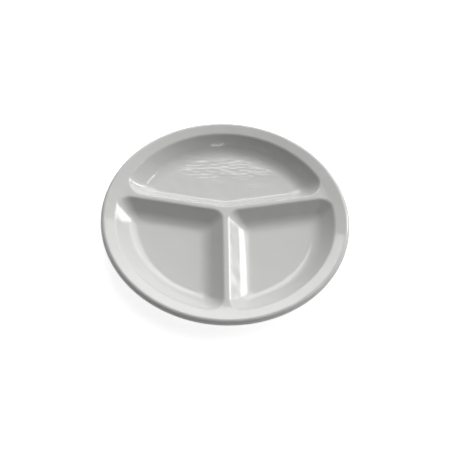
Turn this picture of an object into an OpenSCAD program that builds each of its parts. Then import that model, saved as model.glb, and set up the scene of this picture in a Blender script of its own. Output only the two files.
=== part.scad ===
// Round dinner plate of glazed china with three wells parted by a Y of low dividers.
// The wells are lofts of their own outline: level by level the outline is drawn in and set lower,
// so that walls, dividers and rounded corners all share one section, and the outer walls turn up
// into a rim that rises to its lip above the dividers' crests. The back is a turned form
// with one foot ring, and the dividers are hollow from below, so that the ware is evenly thick.
// The origin is the centre of the foot's base, with +Z up and the single divider towards -Y.

/* [Plate] */
// Radius of the whole plate
plate_r = 130; // [110:1:150]
// Width of the rim, from the plate's edge in to the brow where it turns down into the wells
rim_w = 14; // [11:0.5:20]
// Thickness of the floors, walls and dividers
ware_t = 5; // [3.5:0.5:5]

/* [Wells] */
// Depth of the wells below the rim
well_depth = 13; // [11:0.5:16]
// Distance from the brow of a wall to the flat floor, seen from above
wall_run = 27; // [24:0.5:30]
// Radius of the rounded brow at the top of walls and dividers
brow_r = 5; // [5:0.5:8]
// Radius of the sweep that joins a wall to its floor
sweep_r = 24; // [18:1:28]
// Radius of the wells' corners at the brow, seen from above
corner_r = 14; // [10:1:18]
// Radius of the same corners at the floor
corner_floor_r = 5; // [3:0.5:8]

/* [Dividers] */
// Width of the flat crest of a divider
crest_w = 2; // [1:0.5:5]
// Distance of the point where the dividers meet behind the plate's centre
hub_y = 9.5; // [0:0.5:14]
// Angle at which the two side dividers run backwards
arm_rise = 10; // [4:1:16]
// Radius of the large well's corner where the dividers meet, at the brow
hub_corner_r = 40; // [30:1:60]
// Radius of the same corner at the floor
hub_floor_r = 13; // [8:1:20]
// Radius of the vault under a divider's crest
vault_r = 8; // [5:0.5:10]
// Distance of the hollows' ends from the ends of the dividers' straight stretches
hollow_setback = 2; // [1:0.5:6]
// Slope of the hollows' ends
hollow_end_slope = 55; // [45:5:65]

/* [Rim] */
// Angle at which the rim rises from the brow to its lip
rim_slope = 12; // [6:1:15]
// Distance inside the brow over which the surface turns up into the rim
rim_blend = 10; // [5:1:12]
// Radius of the rounded upper lip
lip_r = 4; // [3:0.5:5]
// Height of the straight edge between the upper and the lower lip
lip_edge_h = 0.4; // [0.2:0.1:1]
// Radius of the rounded lower lip
lip_under_r = 2.2; // [1.5:0.1:2.5]
// Thickness of the rim at the brow, from top to underside
rim_t = 6.5; // [6:0.1:7]
// Radius of the fillet under the rim
rim_fillet_r = 10; // [8:1:14]

/* [Foot] */
// Height of the foot ring
foot_h = 3; // [2:0.5:4]
// Distance from the edge of the floors in to the middle of the foot ring
foot_inset = 4; // [3.5:0.5:8]
// Width of the foot ring at its base
foot_w = 4; // [3:0.5:5]
// How much wider the foot ring is on each side where it meets the plate
foot_flare = 1; // [0.5:0.1:1]
// Radius of the foot ring's rounded lower edges
foot_edge_r = 0.8; // [0.5:0.1:1]

/* [Fineness] */
// Steps round the brow
brow_steps = 4; // [3:1:8]
// Steps down the straight slope
slope_steps = 3; // [2:1:6]
// Steps round the sweep
sweep_steps = 8; // [5:1:12]
// Steps round a corner
corner_steps = 8; // [6:2:16]
// Steps along the stretch of a divider's end before its corners
stretch_steps = 4; // [2:1:8]
// Steps along the round of the wall beside a corner
wall_steps = 5; // [3:1:8]
// Steps round the rim's lip and the other small rounds
lip_steps = 6; // [3:1:12]

/* [Hidden] */
$fn = 144;
china = "whitesmoke";
// Length by which a cutting shape runs past what it cuts
overrun = 1;
// Grid on which the points of a loft lie, so that points meant to be one are one
point_grid = 0.0001;
// Steps across a divider's crest where it opens into the rim
crest_steps = 4;

// Radius of the line where the rim turns down into the wells
brow_line_r = plate_r - rim_w;
floor_z = foot_h + ware_t;
top_z = floor_z + well_depth;
crest_half = crest_w / 2;
// Distance from a divider's middle to the edge of the floor beside it
skirt = crest_half + wall_run;
floor_r = brow_line_r - wall_run;
foot_r = floor_r - foot_inset;
foot_inner_r = foot_r - foot_w / 2 - foot_flare;

// The wall is the common tangent of the brow's arc and the sweep's arc
arcs_r = brow_r + sweep_r;
arcs_rise = arcs_r - well_depth;
slope = asin(arcs_r / norm([wall_run, arcs_rise])) - atan2(arcs_rise, wall_run);

// Directions in which the dividers run from the point where they meet
right_run = arm_rise;
left_run = 180 - arm_rise;
front_run = 270;
hub = [0, hub_y];
// Each well lies between the divider on its right-hand side and the next one round
large_well = [right_run, left_run];
left_well = [left_run, front_run];
right_well = [front_run, right_run + 360];

// Point a share of the way between two others
function between(a, b, t) = a * (1 - t) + b * t;

// Levels of a well, from the brow to the floor, as inset from the outline and height
brow_end = [brow_r * sin(slope), top_z - brow_r * (1 - cos(slope))];
sweep_start = [wall_run - sweep_r * sin(slope), floor_z + sweep_r * (1 - cos(slope))];
levels = concat(
    [for (i = [0:brow_steps]) let (a = slope * i / brow_steps)
        [brow_r * sin(a), top_z - brow_r * (1 - cos(a))]],
    [for (i = [1:slope_steps - 1]) between(brow_end, sweep_start, i / slope_steps)],
    [for (i = [0:sweep_steps]) let (a = slope * (1 - i / sweep_steps))
        [wall_run - sweep_r * sin(a), floor_z + sweep_r * (1 - cos(a))]]
);

// The back of a wall runs parallel to its face, one thickness further out
back_sweep_r = sweep_r + ware_t;
back_sweep_inset = wall_run - back_sweep_r * sin(slope);
back_sweep_z = floor_z + sweep_r - back_sweep_r * cos(slope);
// Height that the surface gains towards the rim: it turns up inside the brow, then rises straight
function rim_lift(r) =
    let (d = r - brow_line_r + rim_blend)
    d < 0 ? 0 :
    d < rim_blend ? tan(rim_slope) * pow(d, 2) / (2 * rim_blend) :
    tan(rim_slope) * (d - rim_blend / 2);
// Heights of the rim's underside and of the back of the wall below the brow
rim_under_z = top_z + rim_lift(brow_line_r) - rim_t;
brow_back_z = back_sweep_z + back_sweep_inset * tan(slope);
// Centre and ends of the fillet between them
rim_fillet_centre_r = brow_line_r
    + (rim_under_z - brow_back_z + rim_fillet_r * (1 / cos(slope) - 1 / cos(rim_slope)))
    / (tan(slope) - tan(rim_slope));
rim_fillet_z = rim_under_z + (rim_fillet_centre_r - brow_line_r) * tan(rim_slope)
    - rim_fillet_r / cos(rim_slope);
rim_fillet_end_r = rim_fillet_centre_r - rim_fillet_r * sin(slope);
rim_under_r = rim_fillet_centre_r - rim_fillet_r * sin(rim_slope);

// Height of a wall's back at an inset from the brow, along the straight slope or the sweep
function slope_back_z(inset) =
    inset >= wall_run ? foot_h :
    inset > back_sweep_inset ? floor_z + sweep_r - sqrt(pow(back_sweep_r, 2) - pow(wall_run - inset, 2)) :
    back_sweep_z + (back_sweep_inset - inset) * tan(slope);

// Height of the plate's back at a distance from its centre, without the foot and the hollows
function back_z(r) =
    r > rim_under_r ? rim_under_z + (r - brow_line_r) * tan(rim_slope) :
    r > rim_fillet_end_r ? rim_fillet_z + sqrt(pow(rim_fillet_r, 2) - pow(rim_fillet_centre_r - r, 2)) :
    slope_back_z(brow_line_r - r);

// Height of the hollow under a divider at a distance from its middle
vault_z = slope_back_z(-crest_half) - vault_r / cos(slope);
function hollow_z(q) =
    abs(q) < vault_r * sin(slope)
        ? vault_z + sqrt(pow(vault_r, 2) - pow(q, 2))
        : slope_back_z(abs(q) - crest_half);

// Plan point of a divider, s along it from the hub and q across it to the left
function along(run, s, q) = hub + s * [cos(run), sin(run)] + q * [-sin(run), cos(run)];
// Distance of a plan point from a divider's middle line
function across(run, p) = abs((p[1] - hub[1]) * cos(run) - (p[0] - hub[0]) * sin(run));
// The plate's centre in a divider's own frame
function centre_s(run) = -hub_y * sin(run);
function centre_q(run) = -hub_y * cos(run);
function centre(run) = [centre_s(run), centre_q(run)];
// Where a line beside a divider crosses a circle round the plate's centre
function crossing_s(run, q, r) = centre_s(run) + sqrt(pow(r, 2) - pow(q - centre_q(run), 2));
function polar(r, a) = r * [cos(a), sin(a)];
function bearing(p) = atan2(p[1], p[0]);
// Angle to turn from one bearing to another, the short way and the left-hand way
function turn(a, b) = (b - a + 540) % 360 - 180;
function left_turn(a, b) = (b - a + 720) % 360;
// Radii of a small corner and of the large well's corner at the hub, at the brow and at the floor
small = [corner_r, corner_floor_r];
large = [hub_corner_r, hub_floor_r];
// A corner's radius as the outline is drawn in, quickly below the brow and slowly near the floor
function drawn_in(radii, inset) = radii[1] + (radii[0] - radii[1]) * pow(1 - inset / wall_run, 2);

// Middle of a small corner's arc at the floor, across a divider and from the plate's centre
corner_q = skirt + corner_floor_r;
corner_out = floor_r - corner_floor_r;
// Ends of a divider's straight stretch, at the hub's corners and at the wall's corners
stretch_start = corner_q / tan((front_run - left_run) / 2);
function stretch_end(run) = min(crossing_s(run, corner_q, corner_out), crossing_s(run, -corner_q, corner_out));
// Bearing at which the turned wall meets the corner on side 1, left, or -1, right, of a divider
function wall_bearing(run, side) =
    bearing(along(run, crossing_s(run, side * corner_q, corner_out), side * corner_q));

// A well's outline round the corner between a divider and the outer wall, drawn in by an inset,
// in the divider's own frame, from the end of its straight stretch to the start of the turned wall
function wall_corner(run, side, inset) =
    let (
        r = drawn_in(small, inset),
        q = side * (crest_half + inset),
        centre_away = q + side * r,
        centre_along = crossing_s(run, centre_away, brow_line_r - inset - r),
        from_divider = -90 * side,
        to_wall = atan2(centre_away - centre_q(run), centre_along - centre_s(run)),
        wall_turn = turn(to_wall, wall_bearing(run, side) - run)
    )
    concat(
        [for (i = [0:stretch_steps - 1])
            [between(stretch_end(run), centre_along, i / stretch_steps), q]],
        [for (i = [0:corner_steps]) let (a = between(from_divider, to_wall, i / corner_steps))
            [centre_along + r * cos(a), centre_away + r * sin(a)]],
        [for (i = [1:wall_steps])
            centre(run) + polar(brow_line_r - inset, to_wall + wall_turn * i / wall_steps)]
    );

// A well's outline round its corner at the hub, drawn in by an inset,
// from the divider on its left-hand side to the one on its right-hand side
function hub_corner(well, radii, inset) =
    let (
        half = (well[1] - well[0]) / 2,
        r = drawn_in(radii, inset),
        away = crest_half + inset + r,
        reach = away / tan(half),
        centre = hub + polar(away / sin(half), well[0] + half)
    )
    concat(
        [along(well[1], stretch_start, -crest_half - inset)],
        [for (i = [0:corner_steps])
            centre + polar(r, well[1] + 90 + (180 - 2 * half) * i / corner_steps)],
        [along(well[0], stretch_start, crest_half + inset)]
    );
// The crests' middle lines round the same corner, with as many points
spine_steps = 1 + corner_steps / 2;
function hub_spine(well) = concat(
    [for (i = [0:spine_steps]) along(well[1], stretch_start * (1 - i / spine_steps), 0)],
    [for (i = [1:spine_steps]) along(well[0], stretch_start * i / spine_steps, 0)]
);

// Rows of points at given heights, lifted towards the rim, and straight below them on the back
function lifted(row, z, middle = undef) =
    [for (p = row) [p[0], p[1], z + (is_undef(middle) ? 0 : rim_lift(norm(p - middle)))]];
function wall_backs(rows, middle) =
    [for (row = rows) [for (p = row) [p[0], p[1], back_z(norm([p[0], p[1]] - middle))]]];
function hub_back(well, row) =
    [for (p = row) [p[0], p[1], hollow_z(min(across(well[0], p), across(well[1], p)))]];
function reversed(row) = [for (i = [len(row) - 1:-1:0]) row[i]];

// Faces of a grid of points and of the grid below it. The next row lies to the left of each row.
// There is a wall below the first row before and after the shared columns, where another grid
// carries on, and below the last row unless all of it is shared.
function two_faces(a, b, c, d) = [[a, b, c], [a, c, d]];
function sheet_faces(rows, cols, first, shared, last_shared) =
    let (count = rows * cols, below = first + count, end = first + (rows - 1) * cols)
    concat(
        [for (i = [0:rows - 2], j = [0:cols - 2]) let (a = first + i * cols + j)
            each two_faces(a, a + cols, a + cols + 1, a + 1)],
        [for (i = [0:rows - 2], j = [0:cols - 2]) let (a = below + i * cols + j)
            each two_faces(a, a + 1, a + cols + 1, a + cols)],
        [for (j = [0:cols - 2]) let (a = first + j)
            if (j < shared[0] || j >= shared[1]) each two_faces(a, a + 1, a + count + 1, a + count)],
        [for (j = [0:cols - 2]) let (a = end + j)
            if (!last_shared) each two_faces(a + 1, a, a + count, a + count + 1)],
        [for (i = [0:rows - 2]) let (a = first + i * cols)
            each two_faces(a + cols, a, a + count, a + count + cols)],
        [for (i = [0:rows - 2]) let (a = first + i * cols + cols - 1)
            each two_faces(a, a + cols, a + count + cols, a + count)]
    );
// Sheet of an upper grid and the lower grid straight below it, with its place in a list of points
function sheet(upper, lower, first, shared, last_shared = false) = [
    [for (row = concat(upper, lower), p = row) [for (v = p) round(v / point_grid) * point_grid]],
    sheet_faces(len(upper), len(upper[0]), first, shared, last_shared)
];

// A closed solid from sheets that meet along their shared edges
module solid_of_sheets(sheets) {
    polyhedron([for (sheet = sheets) each sheet[0]], [for (sheet = sheets) each sheet[1]]);
}

// Points of a round, from one angle to another, where angle 0 is straight up
function round_points(centre, r, a, b) =
    [for (i = [0:lip_steps]) let (t = between(a, b, i / lip_steps)) centre + r * [sin(t), cos(t)]];

module rim() {
    lip_start_r = plate_r - lip_r - lip_r * sin(rim_slope);
    lip = [plate_r - lip_r, top_z + rim_lift(lip_start_r) - lip_r * cos(rim_slope)];
    under = [plate_r - lip_under_r, lip[1] - lip_edge_h];
    fillet_back = [for (i = [0:lip_steps])
        let (r = between(rim_under_r, brow_line_r, i / lip_steps)) [r, back_z(r)]];
    color(china)
        rotate_extrude()
            polygon(concat(
                [[brow_line_r, top_z + rim_lift(brow_line_r)]],
                round_points(lip, lip_r, -rim_slope, 90),
                round_points(under, lip_under_r, 90, 180 - rim_slope),
                fillet_back
            ));
}

// Turned stretch of a well's outer wall, between the ends of two dividers
module well_wall(well) {
    start = wall_bearing(well[0], 1);
    face = [for (level = levels) let (r = brow_line_r - level[0]) [r, level[1] + rim_lift(r)]];
    back = [for (p = reversed(face)) [p[0], back_z(p[0])]];
    color(china)
        rotate([0, 0, start])
            rotate_extrude(angle = left_turn(start, wall_bearing(well[1], -1)))
                polygon(concat(face, back));
}

// The edge of a well's floor beside the end of a divider
function floor_corner(run, side) = [for (p = wall_corner(run, side, wall_run)) along(run, p[0], p[1])];

// Flat floor inside a well's walls
module well_floor(well, radii) {
    start = wall_bearing(well[0], 1);
    opening = left_turn(start, wall_bearing(well[1], -1));
    steps = ceil($fn * opening / 360);
    color(china)
        translate([0, 0, foot_h])
            linear_extrude(ware_t)
                polygon(concat(
                    hub_corner(well, radii, wall_run),
                    floor_corner(well[0], 1),
                    [for (i = [1:steps - 1]) polar(floor_r, start + opening * i / steps)],
                    reversed(floor_corner(well[1], -1))
                ));
}

// Puts what is drawn in a divider's own frame in its place
module on_divider(run) {
    translate([hub[0], hub[1], 0])
        rotate([0, 0, run])
            children();
}

// Prism of a section across a divider, from its outer end back towards the hub
module section_along(outer_s, inner_s, points) {
    translate([outer_s, 0, 0])
        rotate([90, 0, -90])
            linear_extrude(outer_s - inner_s)
                polygon(points);
}

// Sections of a divider's straight stretch and of the hollow below it
right_face = [for (level = levels) [crest_half + level[0], level[1]]];
left_face = [for (p = reversed(right_face)) [-p[0], p[1]]];
function divider_section() = concat(left_face, right_face, [[skirt, foot_h], [-skirt, foot_h]]);
function hollow_section() = concat(
    [[-skirt, foot_h - overrun]],
    [for (p = concat(left_face, [[0, 0]], right_face)) [p[0], hollow_z(p[0])]],
    [[skirt, foot_h - overrun]]
);

// End of a divider, where its flat crest opens out into the rim between two wells' corners
module divider_end(run) {
    middle = centre(run);
    shared = stretch_steps + corner_steps;
    left = [for (level = levels) lifted(wall_corner(run, 1, level[0]), level[1], middle)];
    right = [for (level = levels) lifted(reversed(wall_corner(run, -1, level[0])), level[1], middle)];
    left_edge = wall_corner(run, 1, 0);
    right_edge = wall_corner(run, -1, 0);
    start = bearing(right_edge[shared] - middle);
    opening = turn(start, bearing(left_edge[shared] - middle));
    crest = [for (k = [0:crest_steps]) let (t = k / crest_steps)
        lifted(concat(
            [for (i = [0:shared - 1]) between(right_edge[i], left_edge[i], t)],
            [middle + polar(brow_line_r, start + opening * t)]
        ), top_z, middle)];
    corner_count = 2 * len(left) * len(left[0]);
    color(china)
        on_divider(run)
            solid_of_sheets([
                sheet(left, wall_backs(left, middle), 0, [0, shared]),
                sheet(right, wall_backs(right, middle), corner_count, [wall_steps, wall_steps + shared]),
                sheet(crest, wall_backs(crest, middle), 2 * corner_count, [0, shared], true)
            ]);
}

// Straight stretch of a divider, hollow from below up to a sloping end inside the foot ring
module divider(run) {
    outer_s = stretch_end(run);
    inner_s = stretch_start - overrun;
    end_s = min(outer_s, crossing_s(run, skirt, foot_inner_r), crossing_s(run, -skirt, foot_inner_r))
        - hollow_setback;
    roof_s = end_s - (top_z - foot_h) / tan(hollow_end_slope);
    color(china)
        on_divider(run)
            difference() {
                section_along(outer_s, stretch_start, divider_section());
                intersection() {
                    section_along(end_s, inner_s, hollow_section());
                    translate([0, skirt + overrun, 0])
                        rotate([90, 0, 0])
                            linear_extrude(2 * (skirt + overrun))
                                polygon([
                                    [inner_s - overrun, 0], [end_s, 0], [end_s, foot_h],
                                    [roof_s, top_z], [inner_s - overrun, top_z]
                                ]);
                }
            }
}

// Sheet of the hub on one well's side, from the crests' middle lines down to the floor's corner
hub_cols = 2 * spine_steps + 1;
hub_rows = len(levels) + 1;
function hub_sheet(well, radii, place) =
    let (
        rows = concat(
            [lifted(hub_spine(well), top_z)],
            [for (level = levels) lifted(hub_corner(well, radii, level[0]), level[1])]
        ),
        backs = [for (row = rows) hub_back(well, row)]
    )
    sheet(rows, backs, place * 2 * hub_rows * hub_cols, [0, hub_cols]);

module divider_hub() {
    color(china)
        solid_of_sheets([
            hub_sheet(large_well, large, 0),
            hub_sheet(left_well, small, 1),
            hub_sheet(right_well, small, 2)
        ]);
}

module foot_ring() {
    base_in = foot_r - foot_w / 2;
    base_out = foot_r + foot_w / 2;
    color(china)
        rotate_extrude()
            polygon(concat(
                [[base_in - foot_flare, foot_h], [base_out + foot_flare, foot_h]],
                round_points([base_out - foot_edge_r, foot_edge_r], foot_edge_r, 90, 180),
                round_points([base_in + foot_edge_r, foot_edge_r], foot_edge_r, 180, 270)
            ));
}

rim();
well_wall(large_well);  // large_well_wall
well_wall(left_well);  // left_well_wall
well_wall(right_well);  // right_well_wall
well_floor(large_well, large);  // large_well_floor
well_floor(left_well, small);  // left_well_floor
well_floor(right_well, small);  // right_well_floor
divider(left_run);  // left_divider
divider(right_run);  // right_divider
divider(front_run);  // front_divider
divider_end(left_run);  // left_divider_end
divider_end(right_run);  // right_divider_end
divider_end(front_run);  // front_divider_end
divider_hub();
foot_ring();
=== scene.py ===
import math

import bpy
import numpy as np
from mathutils import Matrix, Vector


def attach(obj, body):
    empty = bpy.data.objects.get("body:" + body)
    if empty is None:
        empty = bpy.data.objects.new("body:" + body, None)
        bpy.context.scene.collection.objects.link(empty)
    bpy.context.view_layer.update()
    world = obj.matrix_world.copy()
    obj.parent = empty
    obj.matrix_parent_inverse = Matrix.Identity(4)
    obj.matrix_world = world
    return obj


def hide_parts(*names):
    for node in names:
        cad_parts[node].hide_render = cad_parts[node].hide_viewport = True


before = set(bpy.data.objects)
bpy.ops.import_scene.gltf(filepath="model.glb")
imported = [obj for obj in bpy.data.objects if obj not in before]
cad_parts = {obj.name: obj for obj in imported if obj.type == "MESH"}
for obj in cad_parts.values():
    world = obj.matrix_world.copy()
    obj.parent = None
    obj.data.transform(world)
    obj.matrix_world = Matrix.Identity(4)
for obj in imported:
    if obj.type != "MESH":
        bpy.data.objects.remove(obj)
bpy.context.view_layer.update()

# Camera
# It stands in front of the plate and looks steeply down on it, a little rolled. Its place and aim
# were fitted to the rim's outline and to the wells' lines in the photograph.
CAMERA_AWAY = 0.8884
CAMERA_ELEVATION = math.radians(53.85)
CAMERA_AZIMUTH = math.radians(-3.72)
CAMERA_ROLL = math.radians(3.59)
CAMERA_SHIFT = (0.00037, -0.01067)
CAMERA_NEAREST = 0.01
AIM = Vector((0, 0, 0.021))
FOCAL_PX, IMAGE_PX, SENSOR_MM = 850, 452, 36

back = Vector((
    math.sin(CAMERA_AZIMUTH) * math.cos(CAMERA_ELEVATION),
    -math.cos(CAMERA_AZIMUTH) * math.cos(CAMERA_ELEVATION),
    math.sin(CAMERA_ELEVATION),
))
level_right = (-back).cross(Vector((0, 0, 1))).normalized()
level_up = level_right.cross(-back)
right = level_right * math.cos(CAMERA_ROLL) + level_up * math.sin(CAMERA_ROLL)
up = level_up * math.cos(CAMERA_ROLL) - level_right * math.sin(CAMERA_ROLL)
camera = bpy.data.objects.new("camera", bpy.data.cameras.new("camera"))
camera.data.sensor_width = SENSOR_MM
camera.data.lens = FOCAL_PX / IMAGE_PX * SENSOR_MM
camera.data.clip_start = CAMERA_NEAREST
camera.matrix_world = Matrix.Translation(
    AIM + back * CAMERA_AWAY + right * CAMERA_SHIFT[0] + up * CAMERA_SHIFT[1]
) @ Matrix((right, up, back)).transposed().to_4x4()
bpy.context.scene.collection.objects.link(camera)
bpy.context.scene.camera = camera
bpy.context.scene.view_settings.view_transform = "Standard"

# Room
# A dim studio with soft-edged windows behind the plate and on its right, which light it and which the
# glaze mirrors. The camera itself sees plain white behind the plate, as in the photograph.
ROOM_DIM = 0.075
WINDOWS = (
    # Middle, half size and softness of the edges, as azimuth and elevation in degrees, strength and lean
    ((37, 48), (67, 38), (25, 20), 0.87, 0),
    ((17, 38), (33, 11), (4, 1), 2.3, 0),
    ((36, 27), (22, 8), (12, 8), 0.5, 0),
    ((1, 41.5), (14, 7.3), (3, 1), 1.2, 0),
    ((52, 27), (5, 15), (1.5, 3), 7.5, 0.25),
    ((68, 55.5), (9, 2.5), (2, 1), 5.5, 0),
    ((168, 57.8), (9, 0.7), (2, 0.4), 4.0, 0),
    ((-137, 53.5), (3, 0.6), (1, 0.4), 2.5, 0),
)


def add_node(tree, kind, sources=None, **settings):
    """A shader node with some properties set, its inputs set to values or linked to other sockets."""
    made = tree.nodes.new("ShaderNode" + kind)
    for name, value in settings.items():
        setattr(made, name, value)
    for name, source in (sources or {}).items():
        if isinstance(source, bpy.types.NodeSocket):
            tree.links.new(source, made.inputs[name])
        else:
            made.inputs[name].default_value = source
    return made


def linear(code):
    """Linear colour of an sRGB hex code, with alpha 1."""
    parts = [int(code[i:i + 2], 16) / 255 for i in (0, 2, 4)]
    return [p / 12.92 if p <= 0.04045 else ((p + 0.055) / 1.055) ** 2.4 for p in parts] + [1]


world = bpy.data.worlds.new("room")
world.use_nodes = True
room = world.node_tree
room.nodes.clear()
direction = add_node(room, "SeparateXYZ", {0: add_node(room, "TexCoord").outputs["Generated"]})
turn = add_node(room, "Math", {0: direction.outputs["X"], 1: direction.outputs["Y"]}, operation="ARCTAN2")
height = add_node(room, "Math", {0: direction.outputs["Z"]}, operation="ARCSINE")
azimuth = add_node(room, "Math", {0: turn.outputs[0]}, operation="DEGREES").outputs[0]
elevation = add_node(room, "Math", {0: height.outputs[0]}, operation="DEGREES").outputs[0]


def window(at, half, soft, strength, lean):
    """Brightness of a window: its strength, faded out smoothly on both sides of each of its four edges.

    Azimuths count from +Y towards +X. The upright edges lean to the left by a share of the height.
    """
    leaning = add_node(room, "Math", {0: elevation, 1: lean, 2: azimuth}, operation="MULTIPLY_ADD").outputs[0]
    inside = strength
    for angle, middle, size, edge in zip((leaning, elevation), (at[0] + lean * at[1], at[1]), half, soft):
        off = add_node(room, "Math", {0: angle, 1: middle}, operation="SUBTRACT").outputs[0]
        away = add_node(room, "Math", {0: off}, operation="ABSOLUTE").outputs[0]
        share = add_node(room, "MapRange", {
            "Value": away, "From Min": size + edge, "From Max": size - edge, "To Min": 0, "To Max": 1,
        }, interpolation_type="SMOOTHSTEP").outputs["Result"]
        inside = add_node(room, "Math", {0: share, 1: inside}, operation="MULTIPLY").outputs[0]
    return inside


light = ROOM_DIM
for shape in WINDOWS:
    light = add_node(room, "Math", {0: light, 1: window(*shape)}, operation="ADD").outputs[0]
lit = add_node(room, "Background", {"Color": linear("FFFFFF"), "Strength": light})
white = add_node(room, "Background", {"Color": linear("FFFFFF"), "Strength": 1.0})
ray = add_node(room, "LightPath")
seen = add_node(room, "MixShader", {0: ray.outputs["Is Camera Ray"], 1: lit.outputs[0], 2: white.outputs[0]})
add_node(room, "OutputWorld", {"Surface": seen.outputs[0]})
bpy.context.scene.world = world

# Floor
# A plain sheet of matt white paper that the plate stands on, not part of the object. It glows for the
# camera and for mirrored rays alone, so that it shows white, takes a faint shadow and adds no light.
FLOOR_HALF = 3.0
PAPER_GLOW = 0.8
floor_mesh = bpy.data.meshes.new("floor")
floor_corners = [(x * FLOOR_HALF, y * FLOOR_HALF, 0) for x, y in ((-1, -1), (1, -1), (1, 1), (-1, 1))]
floor_mesh.from_pydata(floor_corners, [], [(0, 1, 2, 3)])
floor = bpy.data.objects.new("floor", floor_mesh)
bpy.context.scene.collection.objects.link(floor)
paper = bpy.data.materials.new("white_paper")
paper.use_nodes = True
tree = paper.node_tree
tree.nodes.clear()
matt = add_node(tree, "BsdfDiffuse", {"Color": linear("F2F2F2")})
glow = add_node(tree, "Emission", {"Color": linear("FFFFFF"), "Strength": PAPER_GLOW})
seen = add_node(tree, "AddShader", {0: matt.outputs[0], 1: glow.outputs[0]})
ray = add_node(tree, "LightPath")
looked_at = add_node(tree, "Math", {
    0: ray.outputs["Is Camera Ray"], 1: ray.outputs["Is Glossy Ray"]
}, operation="MAXIMUM")
both = add_node(tree, "MixShader", {0: looked_at.outputs[0], 1: matt.outputs[0], 2: seen.outputs[0]})
add_node(tree, "OutputMaterial", {"Surface": both.outputs[0]})
floor_mesh.materials.append(paper)

# Well walls
# The turned outer sides of the three wells, part of the one body of vitrified china, which is pressed in
# one go, glazed all over but for its foot, and fired. Their faces run from the brow down a straight slope
# and a sweep to the floor. All sizes of the ware are in millimetres.
MM = 0.001
TOP_Z = 21.0          # crests of the dividers, and the rim before it rises
FLOOR_Z = 8.0         # floors of the wells
WARE_T = 5.0          # thickness of the ware
BROW_LINE_R = 116.0   # where the rim ends and the walls begin
WALL_RUN = 27.0       # level run of a wall from its brow to the floor
BROW_R = 5.0          # rounding at the top of a wall
SWEEP_R = 24.0        # rounding at the foot of a wall
FLOOR_R = BROW_LINE_R - WALL_RUN
CREST_HALF = 1.0      # half the level top of a divider
SKIRT = CREST_HALF + WALL_RUN
RIM_SLOPE = math.radians(12)
RIM_BLEND = 10.0      # width over which the surface turns up towards the rim
RIM_T = 6.5           # thickness of the rim, measured upright at the brow's line
RIM_FILLET_R = 10.0   # rounding under the rim
SMALL = (14, 5)       # radius of a small corner at the brow and at the floor
HUB = np.array([0, 9.5])

# Each divider's direction from the hub in degrees, and each well's dividers on its right and left side
RUNS = {"right": 10, "left": 170, "front": 270}
WELLS = {"large": ("right", "left"), "left": ("left", "front"), "right": ("front", "right")}

WALL_STEP = math.radians(1.25)
WELD_DIGITS = 4

# Vitrified china under a clear fired glaze: an even, slightly warm white below a hard skin that mirrors
# the windows. The glaze swells a little where it ran, and a pool of finer ripples lies in the far part of
# the large well. Both patterns have their real widths. The ripples and their pool are longer along X.
CLOUD_WIDE = 71.4
SWELL_WIDE, SWELL_HIGH = 14.3, 0.25
RIPPLE_WIDE, RIPPLE_HIGH = 3.03, 0.19
RIPPLE_X_SHARE = 0.3       # what is left of distances along X before the ripples are drawn
POOL_AT = (0, 77, 8)
POOL_FULL, POOL_END = 11, 21
RIPPLE_SHARE_ELSEWHERE = 0.2
GLAZE_ROUGHNESS, GLAZE_IOR = 0.06, 1.5
china = bpy.data.materials.new("glazed_china")
china.use_nodes = True
tree = china.node_tree
surface = tree.nodes["Principled BSDF"]
place = add_node(tree, "TexCoord").outputs["Object"]
cloud = add_node(tree, "TexNoise", {"Vector": place, "Scale": 1 / (CLOUD_WIDE * MM), "Detail": 2.0})
tint = add_node(tree, "Mix", {
    "Factor": cloud.outputs["Fac"], "A": linear("E4E4E3"), "B": linear("E0E0DE")
}, data_type="RGBA")
swell = add_node(tree, "TexNoise", {"Vector": place, "Scale": 1 / (SWELL_WIDE * MM), "Detail": 0.0})
swell_bump = add_node(tree, "Bump", {"Height": swell.outputs["Fac"], "Distance": SWELL_HIGH * MM})
drawn_out = add_node(tree, "VectorMath", {
    0: place, 1: (RIPPLE_X_SHARE, 1, 1)
}, operation="MULTIPLY").outputs["Vector"]
ripple = add_node(tree, "TexNoise", {"Vector": drawn_out, "Scale": 1 / (RIPPLE_WIDE * MM), "Detail": 0.0})
from_pool = add_node(tree, "VectorMath", {
    0: drawn_out, 1: [x * MM for x in POOL_AT]
}, operation="DISTANCE").outputs["Value"]
rippled = add_node(tree, "MapRange", {
    "Value": from_pool, "From Min": POOL_FULL * MM, "From Max": POOL_END * MM,
    "To Min": 1.0, "To Max": RIPPLE_SHARE_ELSEWHERE,
}, interpolation_type="SMOOTHSTEP").outputs["Result"]
ripple_bump = add_node(tree, "Bump", {
    "Height": ripple.outputs["Fac"], "Distance": RIPPLE_HIGH * MM, "Strength": rippled,
    "Normal": swell_bump.outputs["Normal"],
})
tree.links.new(tint.outputs["Result"], surface.inputs["Base Color"])
tree.links.new(ripple_bump.outputs["Normal"], surface.inputs["Normal"])
surface.inputs["Roughness"].default_value = GLAZE_ROUGHNESS
surface.inputs["IOR"].default_value = GLAZE_IOR

# A wall's slope touches both its arcs, so it leans from the level by the angle at which they share it.
rise = BROW_R + SWEEP_R - (TOP_Z - FLOOR_Z)
SLOPE = math.asin((BROW_R + SWEEP_R) / math.hypot(WALL_RUN, rise)) - math.atan2(rise, WALL_RUN)


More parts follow.
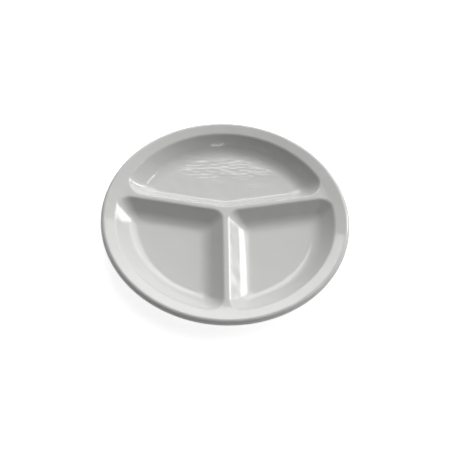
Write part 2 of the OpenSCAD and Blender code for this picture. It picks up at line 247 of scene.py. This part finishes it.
def section(brow_steps=12, slope_steps=6, sweep_steps=24):
    """Insets and heights down a well's side: an arc of BROW_R, a straight slope, an arc of SWEEP_R."""
    brow = np.linspace(0, SLOPE, brow_steps + 1)
    sweep = np.linspace(SLOPE, 0, sweep_steps + 1)
    brow_arc = np.c_[BROW_R * np.sin(brow), TOP_Z - BROW_R * (1 - np.cos(brow))]
    sweep_arc = np.c_[WALL_RUN - SWEEP_R * np.sin(sweep), FLOOR_Z + SWEEP_R * (1 - np.cos(sweep))]
    share = np.linspace(0, 1, slope_steps + 1)[1:-1, None]
    return np.vstack([brow_arc, brow_arc[-1] * (1 - share) + sweep_arc[0] * share, sweep_arc])


LEVELS = section()


def rim_lift(r):
    """Height that the surface gains towards the rim: a parabola over RIM_BLEND, then a straight rise."""
    d = np.maximum(r - BROW_LINE_R + RIM_BLEND, 0)
    return math.tan(RIM_SLOPE) * np.where(d < RIM_BLEND, d ** 2 / (2 * RIM_BLEND), d - RIM_BLEND / 2)


# The back of the walls runs at the ware's thickness from their faces. Under the rim a fillet touches the
# back of the slope and the rim's underside.
back_sweep_r = SWEEP_R + WARE_T
back_sweep_inset = WALL_RUN - back_sweep_r * math.sin(SLOPE)
back_sweep_z = FLOOR_Z + SWEEP_R - back_sweep_r * math.cos(SLOPE)
rim_under_z = TOP_Z + float(rim_lift(BROW_LINE_R)) - RIM_T
brow_back_z = back_sweep_z + back_sweep_inset * math.tan(SLOPE)
fillet_centre_r = BROW_LINE_R + (
    rim_under_z - brow_back_z + RIM_FILLET_R * (1 / math.cos(SLOPE) - 1 / math.cos(RIM_SLOPE))
) / (math.tan(SLOPE) - math.tan(RIM_SLOPE))
fillet_top_z = rim_under_z + (fillet_centre_r - BROW_LINE_R) * math.tan(RIM_SLOPE)
fillet_z = fillet_top_z - RIM_FILLET_R / math.cos(RIM_SLOPE)
fillet_end_r = fillet_centre_r - RIM_FILLET_R * math.sin(SLOPE)
rim_under_r = fillet_centre_r - RIM_FILLET_R * math.sin(RIM_SLOPE)


def slope_back_z(inset):
    """Height of a wall's back: an arc of back_sweep_r behind the sweep, a straight line behind the slope."""
    over = np.clip(WALL_RUN - inset, 0, back_sweep_r)
    sweep = FLOOR_Z + SWEEP_R - np.sqrt(back_sweep_r ** 2 - over ** 2)
    slope = back_sweep_z + (back_sweep_inset - inset) * math.tan(SLOPE)
    return np.where(inset > back_sweep_inset, sweep, slope)


def back_z(r):
    """Height of the turned back at distance r from the centre: wall's back, fillet, underside of the rim."""
    fillet = fillet_z + np.sqrt(RIM_FILLET_R ** 2 - np.clip(fillet_centre_r - r, 0, RIM_FILLET_R) ** 2)
    under = rim_under_z + (r - BROW_LINE_R) * math.tan(RIM_SLOPE)
    wall = np.where(r > fillet_end_r, fillet, slope_back_z(BROW_LINE_R - r))
    return np.where(r > rim_under_r, under, wall)


def in_plate(run, points):
    """Plan points given along and across a divider, turned by its direction and moved to the hub."""
    a = math.radians(RUNS[run])
    turned = np.array([[math.cos(a), math.sin(a)], [-math.sin(a), math.cos(a)]])
    return HUB + np.asarray(points) @ turned


def in_divider(run, points):
    """Plan points of the plate, along and across a divider: moved from the hub and turned back."""
    a = math.radians(RUNS[run])
    turned = np.array([[math.cos(a), -math.sin(a)], [math.sin(a), math.cos(a)]])
    return (np.asarray(points) - HUB) @ turned


def crossing(run, q, r):
    """Distance along a divider at which the line at q beside it crosses the circle of radius r."""
    s0, q0 = in_divider(run, (0, 0))
    return s0 + math.sqrt(r ** 2 - (q - q0) ** 2)


def bearing(point):
    """Direction of a plan point from the plate's centre, from +X towards +Y."""
    return math.atan2(point[1], point[0])


corner_q, corner_out = SKIRT + SMALL[1], FLOOR_R - SMALL[1]


def wall_bearing(run, side):
    """Direction in which the turned wall meets the corner beside a divider: that of the corner's centre."""
    return bearing(in_plate(run, (crossing(run, side * corner_q, corner_out), side * corner_q)))


def wall_bearings(well):
    """Directions across a well's turned wall, in even steps of about WALL_STEP."""
    right_run, left_run = WELLS[well]
    start = wall_bearing(right_run, 1)
    opening = (wall_bearing(left_run, -1) - start) % (2 * math.pi)
    return start + opening * np.linspace(0, 1, math.ceil(opening / WALL_STEP) + 1)


def set_at(plan, z):
    """Plan points with a height each."""
    return np.dstack([plan, np.broadcast_to(z, plan.shape[:2])])


def top_at(plan, z):
    """Plan points at a height of the wells' section, lifted towards the rim."""
    return set_at(plan, z + rim_lift(np.hypot(plan[..., 0], plan[..., 1])))


def back_at(plan):
    """Points of the turned back straight below plan points."""
    return set_at(plan, back_z(np.hypot(plan[..., 0], plan[..., 1])))


def grid_skin(upper, lower, shared=(0, 0), last_shared=False):
    """Faces of an upper grid and the grid below it, closed at the sides, with the outer ones first.

    The next row lies to the left of each row. The first row has no side at its shared columns, where
    another grid of the same piece carries on, and the last row has none if all of it is shared.
    """
    rows, cols = upper.shape[:2]
    points = np.vstack([upper.reshape(-1, 3), lower.reshape(-1, 3)])
    top = np.arange(rows * cols).reshape(rows, cols)
    low = top + rows * cols

    def quads(a, b, c, d):
        return np.stack([a, b, c, d], -1).reshape(-1, 4)

    outer = [
        quads(top[:-1, :-1], top[:-1, 1:], top[1:, 1:], top[1:, :-1]),
        quads(low[:-1, :-1], low[1:, :-1], low[1:, 1:], low[:-1, 1:]),
    ]
    open_cols = np.array([j for j in range(cols - 1) if not shared[0] <= j < shared[1]], int)
    inner = [
        quads(top[0, open_cols], low[0, open_cols], low[0, open_cols + 1], top[0, open_cols + 1]),
        quads(top[1:, 0], low[1:, 0], low[:-1, 0], top[:-1, 0]),
        quads(top[:-1, -1], low[:-1, -1], low[1:, -1], top[1:, -1]),
    ]
    if not last_shared:
        inner.append(quads(top[-1, 1:], low[-1, 1:], low[-1, :-1], top[-1, :-1]))
    return points, [f for part in outer for f in part.tolist()], [f for part in inner for f in part.tolist()]


# Pieces are kept here, so that those that the glaze covers are smoothed as one surface.
skins = {}


def add_piece(node, parts, material=china):
    """Joins skins into one closed piece, keeps it for smoothing, and puts it in a CAD node's place.

    Points that agree to WELD_DIGITS become one, and faces that this leaves without area are dropped.
    """
    points, outer, inner, count = [], [], [], 0
    for part_points, part_outer, part_inner in parts:
        points.append(part_points)
        outer += [[i + count for i in f] for f in part_outer]
        inner += [[i + count for i in f] for f in part_inner]
        count += len(part_points)
    points = np.vstack(points)
    _, first, index = np.unique(np.round(points, WELD_DIGITS), axis=0, return_index=True, return_inverse=True)
    index = index.ravel()

    def welded(faces):
        ringed = ([v for v, before in zip(f, f[-1:] + f[:-1]) if v != before] for f in (
            [int(index[i]) for i in face] for face in faces))
        return [f for f in ringed if len(f) > 2]

    outer, inner = welded(outer), welded(inner)
    mesh = bpy.data.meshes.new(node)
    points = points[first]
    mesh.from_pydata((points * MM).tolist(), [], outer + inner)
    mesh.polygons.foreach_set("use_smooth", [True] * len(mesh.polygons))
    mesh.materials.append(material)
    piece = bpy.data.objects.new(node + "_china", mesh)
    bpy.context.scene.collection.objects.link(piece)
    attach(piece, "root")
    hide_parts(node)
    skins[node] = (mesh, points, len(outer))


brow_bearings = []
for well in WELLS:
    bearings = wall_bearings(well)
    brow_bearings += list(bearings[:-1])
    radii = BROW_LINE_R - LEVELS[:, 0, None]
    plan = np.dstack([radii * np.cos(bearings), radii * np.sin(bearings)])
    add_piece(well + "_well_wall", [grid_skin(top_at(plan, LEVELS[:, 1, None]), back_at(plan))])

# Divider ends
# Where the crest of each divider opens into the rim between two rounded corners of china, pressed with
# the rest. The corners are wide at the brow and draw in towards the floor. Those of the large well are
# rounder, and its dividers' faces are steeper.
WIDE = (21, 7)             # radius of the large well's corners at the brow and at the floor
LARGE_FACE_RUN = 19.0      # level run of the dividers' faces towards the large well
STRETCH_STEPS, CORNER_STEPS, WALL_STEPS, CREST_STEPS = 12, 20, 12, 4
STRETCH_END = {run: min(crossing(run, q, corner_out) for q in (corner_q, -corner_q)) for run in RUNS}


def face_share(run, side):
    """Share by which a divider's face on one side is drawn together, where it looks on the large well."""
    return LARGE_FACE_RUN / WALL_RUN if (run, side) in (("right", 1), ("left", -1)) else 1


def corner_radius(radii, inset):
    """Radius of a corner, drawn in by a parabola from the brow's radii[0] to the floor's radii[1]."""
    return radii[1] + (radii[0] - radii[1]) * (1 - inset / WALL_RUN) ** 2


def wall_corner(run, side, inset):
    """A well's outline round the corner between a divider and the wall, in the plate's frame.

    It is a straight stretch, an arc that touches the divider's line and the wall's circle, and an arc of
    that circle.
    """
    r = corner_radius(SMALL if face_share(run, side) == 1 else WIDE, inset)
    q = side * (CREST_HALF + inset * face_share(run, side))
    away = q + side * r
    out = crossing(run, away, BROW_LINE_R - inset - r)
    s0, q0 = in_divider(run, (0, 0))
    to_wall = math.atan2(away - q0, out - s0)
    straight = np.linspace(STRETCH_END[run], out, STRETCH_STEPS + 1)[:-1]
    arc = np.linspace(-side * math.pi / 2, to_wall, CORNER_STEPS + 1)
    start = bearing(in_plate(run, (out, away)))
    opening = (wall_bearing(run, side) - start + 3 * math.pi) % (2 * math.pi) - math.pi
    circle = start + opening * np.linspace(0, 1, WALL_STEPS + 1)[1:]
    return np.vstack([
        in_plate(run, np.c_[straight, np.full(STRETCH_STEPS, q)]),
        in_plate(run, np.c_[out + r * np.cos(arc), away + r * np.sin(arc)]),
        (BROW_LINE_R - inset) * np.c_[np.cos(circle), np.sin(circle)],
    ])


shared = STRETCH_STEPS + CORNER_STEPS
for run in RUNS:
    left = np.array([wall_corner(run, 1, inset) for inset in LEVELS[:, 0]])
    right = np.array([wall_corner(run, -1, inset)[::-1] for inset in LEVELS[:, 0]])
    right_edge, left_edge = right[0, ::-1][:shared + 1], left[0][:shared + 1]
    share = np.linspace(0, 1, CREST_STEPS + 1)[:, None, None]
    crest = right_edge * (1 - share) + left_edge * share
    start = bearing(right_edge[-1])
    opening = (bearing(left_edge[-1]) - start) % (2 * math.pi)
    arc = start + opening * share[:, 0, 0]
    crest[:, -1] = BROW_LINE_R * np.c_[np.cos(arc), np.sin(arc)]
    heights = LEVELS[:, 1, None]
    add_piece(run + "_divider_end", [
        grid_skin(top_at(left, heights), back_at(left), (0, shared)),
        grid_skin(top_at(right, heights), back_at(right), (WALL_STEPS, WALL_STEPS + shared)),
        grid_skin(top_at(crest, TOP_Z), back_at(crest), (0, shared), True),
    ])
    brow_bearings += [bearing(p) for p in right[0][:WALL_STEPS]]
    brow_bearings += list(arc[:-1]) + [bearing(p) for p in left[0][shared:-1]]

# Rim
# The turned border round the wells, which rises a little outwards and ends in a rounded lip. It is of one
# body with the walls and is glazed all over.
PLATE_R = 129.9       # just within the solid's, whose edge has flat facets
LIP_R = 4.0           # rounding of the lip's top
LIP_EDGE_H = 0.4      # upright edge between the lip's roundings
LIP_UNDER_R = 2.2     # rounding below it
LAND_STEPS, LIP_STEPS, LIP_UNDER_STEPS, UNDER_STEPS = 8, 18, 10, 3


def ring_skin(profile, bearings, closed_at):
    """Faces of a closed profile of (r, z) points turned round Z. From closed_at on they are inner ones."""
    profile = np.asarray(profile)
    rows, cols = len(profile), len(bearings)
    r, z = profile[:, 0, None], profile[:, 1, None]
    points = np.dstack([r * np.cos(bearings), r * np.sin(bearings), np.broadcast_to(z, (rows, cols))])
    index = np.arange(rows * cols).reshape(rows, cols)
    under = np.roll(index, -1, 0)
    faces = np.stack([index, under, np.roll(under, -1, 1), np.roll(index, -1, 1)], -1)
    outer, inner = (part.reshape(-1, 4).tolist() for part in (faces[:closed_at], faces[closed_at:]))
    return points.reshape(-1, 3), outer, inner


def arc_points(r, z, radius, first, last, steps):
    """Points of an arc round (r, z), where angle 0 is straight up."""
    a = np.linspace(first, last, steps + 1)
    return np.c_[r + radius * np.sin(a), z + radius * np.cos(a)]


lip_start_r = PLATE_R - LIP_R - LIP_R * math.sin(RIM_SLOPE)
lip_z = TOP_Z + float(rim_lift(lip_start_r)) - LIP_R * math.cos(RIM_SLOPE)
land = np.linspace(BROW_LINE_R, lip_start_r, LAND_STEPS + 1)[:-1]
profile = np.vstack([
    np.c_[land, TOP_Z + rim_lift(land)],
    arc_points(PLATE_R - LIP_R, lip_z, LIP_R, -RIM_SLOPE, math.pi / 2, LIP_STEPS),
    arc_points(
        PLATE_R - LIP_UNDER_R, lip_z - LIP_EDGE_H, LIP_UNDER_R,
        math.pi / 2, math.pi - RIM_SLOPE, LIP_UNDER_STEPS,
    ),
    [(r, back_z(r)) for r in np.linspace(rim_under_r, BROW_LINE_R, UNDER_STEPS + 1)],
])
brow_bearings = np.sort(np.array(brow_bearings) % (2 * math.pi))
add_piece("rim", [ring_skin(profile, brow_bearings, len(profile) - 1)])

# Well floors
# The flat bottoms of the three wells, of one body with the walls. Each has the outline that its walls and
# dividers leave at the floor's height.
FOOT_H = 3.0          # underside of the floors, and top of the foot ring
LARGE = (40, 13)      # radius of the large well's corner at the hub, at the brow and at the floor
HUB_STEPS = 24
SAME_POINT = 0.001
half_opening = math.radians((RUNS["right"] - RUNS["front"]) % 360 / 2)
STRETCH_START = corner_q / math.tan(half_opening)


def hub_corner(well, inset):
    """A well's outline round its corner at the hub: from its left divider, by an arc, to its right one."""
    right_run, left_run = WELLS[well]
    first, last = math.radians(RUNS[right_run]), math.radians(RUNS[left_run])
    half = (last - first) % (2 * math.pi) / 2
    r = corner_radius(LARGE if well == "large" else SMALL, inset)
    q = CREST_HALF + inset * face_share(right_run, 1)
    middle = HUB + (q + r) / math.sin(half) * np.array([math.cos(first + half), math.sin(first + half)])
    arc = last + math.pi / 2 + (math.pi - 2 * half) * np.linspace(0, 1, HUB_STEPS + 1)
    return np.vstack([
        in_plate(left_run, [(STRETCH_START, -q)]),
        middle + r * np.c_[np.cos(arc), np.sin(arc)],
        in_plate(right_run, [(STRETCH_START, q)]),
    ])


for well, (right_run, left_run) in WELLS.items():
    bearings = wall_bearings(well)[1:-1]
    outline = np.vstack([
        hub_corner(well, WALL_RUN),
        wall_corner(right_run, 1, WALL_RUN),
        FLOOR_R * np.c_[np.cos(bearings), np.sin(bearings)],
        wall_corner(left_run, -1, WALL_RUN)[::-1],
    ])
    outline = outline[np.hypot(*(outline - np.roll(outline, 1, 0)).T) > SAME_POINT]
    count = len(outline)
    points = np.vstack([np.c_[outline, np.full(count, FLOOR_Z)], np.c_[outline, np.full(count, FOOT_H)]])
    ring = list(range(count))
    sides = [[i + count, (i + 1) % count + count, (i + 1) % count, i] for i in ring]
    add_piece(well + "_well_floor", [(points, [ring, [i + count for i in ring[::-1]]], sides)])

# Dividers
# The straight stretches of the three low walls between the wells, of one body with the rest. They have
# the walls' section on both sides, and they are hollow underneath, so that the ware fires evenly.
VAULT_R = 8.0              # rounding of the hollow under the crest
HOLLOW_END_SLOPE = math.radians(55)
HOLLOW_SETBACK = 2.0       # distance that the hollow's end keeps from the foot ring and the corners
FOOT_INNER_R = 82.0
ALONG_STEPS = 40


def hollow_z(q):
    """Height of the hollow at distance q from a divider's middle: an arc of VAULT_R, then the wall's back."""
    vault = slope_back_z(np.array(-CREST_HALF)) - VAULT_R / math.cos(SLOPE)
    near = vault + np.sqrt(VAULT_R ** 2 - np.clip(q, 0, VAULT_R) ** 2)
    return np.where(q < VAULT_R * math.sin(SLOPE), near, slope_back_z(q - CREST_HALF))


crest_q = CREST_HALF * np.linspace(-1, 1, CREST_STEPS + 1)[1:-1]
across_z = np.r_[LEVELS[::-1, 1], np.full(len(crest_q), TOP_Z), LEVELS[:, 1]]
for run in RUNS:
    left_share, right_share = face_share(run, 1), face_share(run, -1)
    across_q = np.r_[
        -CREST_HALF - LEVELS[::-1, 0] * right_share, crest_q, CREST_HALF + LEVELS[:, 0] * left_share
    ]
    along_s = np.linspace(STRETCH_START, STRETCH_END[run], ALONG_STEPS + 1)
    grid_q, grid_s = np.meshgrid(across_q, along_s, indexing="ij")
    plan = in_plate(run, np.stack([grid_s, grid_q], -1).reshape(-1, 2)).reshape(*grid_q.shape, 2)
    end_s = min(STRETCH_END[run], *(crossing(run, q, FOOT_INNER_R) for q in (SKIRT, -SKIRT))) - HOLLOW_SETBACK
    ramp = FOOT_H + np.maximum(end_s - grid_s, 0) * math.tan(HOLLOW_END_SLOPE)
    lower = np.minimum(hollow_z(np.where(grid_q > 0, grid_q / left_share, -grid_q / right_share)), ramp)
    add_piece(run + "_divider", [grid_skin(set_at(plan, across_z[:, None]), set_at(plan, lower))])

# Divider hub
# The rounded Y where the three dividers meet, of one body with them and hollow underneath. Each third
# spreads from the dividers' middle lines to the outlines of one well's corner.
thirds = []
for well, (right_run, left_run) in WELLS.items():
    half_steps = HUB_STEPS // 2 + 1
    inward = np.linspace(STRETCH_START, 0, half_steps + 1)
    spine = np.vstack([
        in_plate(left_run, np.c_[inward, np.zeros(half_steps + 1)]),
        in_plate(right_run, np.c_[inward[-2::-1], np.zeros(half_steps)]),
    ])
    outlines = [hub_corner(well, inset) for inset in LEVELS[:, 0]]
    plan = np.array([spine, (spine + outlines[0]) / 2] + outlines)
    flat = plan.reshape(-1, 2)
    nearest = np.minimum(*(np.abs(in_divider(run, flat)[:, 1]) for run in (left_run, right_run)))
    lower = hollow_z(nearest / face_share(right_run, 1)).reshape(plan.shape[:2])
    heights = np.r_[TOP_Z, TOP_Z, LEVELS[:, 1]][:, None]
    thirds.append(grid_skin(set_at(plan, heights), set_at(plan, lower), (0, plan.shape[1])))
add_piece("divider_hub", thirds)

# Glaze
# One skin of clear glaze runs over all the pieces made so far. So points that they share get one normal,
# and the crests and floors are level right up to their edges.
LEVEL_WITHIN = 0.0005
FACES_UP = 0.5


def outer_normals(mesh, outer_count):
    """For each point the sum of its outer faces' normals, each by its area over its number of corners."""
    faces = len(mesh.polygons)
    normal, area, corners = np.empty(3 * faces, "f"), np.empty(faces, "f"), np.empty(faces, "i")
    index = np.empty(len(mesh.loops), "i")
    mesh.polygons.foreach_get("normal", normal)
    mesh.polygons.foreach_get("area", area)
    mesh.polygons.foreach_get("loop_total", corners)
    mesh.loops.foreach_get("vertex_index", index)
    weighted = normal.reshape(-1, 3) * (area.astype(float) / corners)[:, None]
    face = np.repeat(np.arange(faces), corners)
    outer = face < outer_count
    total = np.zeros((len(mesh.vertices), 3))
    np.add.at(total, index[outer], weighted[face[outer]])
    return total


all_points = np.vstack([points for _, points, _ in skins.values()])
all_normals = np.vstack([outer_normals(mesh, outer_count) for mesh, _, outer_count in skins.values()])
_, place_of = np.unique(np.round(all_points, WELD_DIGITS), axis=0, return_inverse=True)
place_of = place_of.ravel()
joined = np.zeros((place_of.max() + 1, 3))
np.add.at(joined, place_of, all_normals)
smooth = joined[place_of]
smooth /= np.linalg.norm(smooth, axis=1, keepdims=True)
inside = np.hypot(all_points[:, 0], all_points[:, 1]) < BROW_LINE_R + SAME_POINT
on_level = np.minimum(np.abs(all_points[:, 2] - FLOOR_Z), np.abs(all_points[:, 2] - TOP_Z)) < LEVEL_WITHIN
smooth[inside & on_level & (smooth[:, 2] > FACES_UP)] = (0, 0, 1)
first = 0
for mesh, points, _ in skins.values():
    mesh.normals_split_custom_set_from_vertices(smooth[first:first + len(points)].tolist())
    first += len(points)

# Foot ring
# The low turned ring that the plate stands on, of one body with the rest. The glaze is wiped off it
# before firing, so that it doesn't stick to the kiln's shelf.
FOOT_IN, FOOT_OUT, FOOT_FLARE, FOOT_EDGE_R = 83.0, 87.0, 1.0, 0.8
FOOT_EDGE_STEPS, FOOT_STEPS = 6, 288

# Bare vitrified china: a matt, slightly grey and rough face. Its grain of 0.1 to 0.2 mm is drawn coarser,
# so that it shows.
GRAIN_WIDE, GRAIN_HIGH, GRAIN_STRENGTH = 0.667, 0.05, 0.5
BARE_ROUGHNESS = 0.75
bare = bpy.data.materials.new("bare_foot")
bare.use_nodes = True
tree = bare.node_tree
surface = tree.nodes["Principled BSDF"]
place = add_node(tree, "TexCoord").outputs["Object"]
grain = add_node(tree, "TexNoise", {"Vector": place, "Scale": 1 / (GRAIN_WIDE * MM), "Detail": 3.0})
grain_bump = add_node(tree, "Bump", {
    "Height": grain.outputs["Fac"], "Distance": GRAIN_HIGH * MM, "Strength": GRAIN_STRENGTH
})
tree.links.new(grain_bump.outputs["Normal"], surface.inputs["Normal"])
surface.inputs["Base Color"].default_value = linear("CFCCC5")
surface.inputs["Roughness"].default_value = BARE_ROUGHNESS

profile = np.vstack([
    [(FOOT_IN - FOOT_FLARE, FOOT_H), (FOOT_OUT + FOOT_FLARE, FOOT_H)],
    arc_points(FOOT_OUT - FOOT_EDGE_R, FOOT_EDGE_R, FOOT_EDGE_R, math.pi / 2, math.pi, FOOT_EDGE_STEPS),
    arc_points(FOOT_IN + FOOT_EDGE_R, FOOT_EDGE_R, FOOT_EDGE_R, math.pi, 1.5 * math.pi, FOOT_EDGE_STEPS),
])
bearings = np.linspace(0, 2 * math.pi, FOOT_STEPS + 1)[:-1]
add_piece("foot_ring", [ring_skin(profile, bearings, len(profile))], bare)
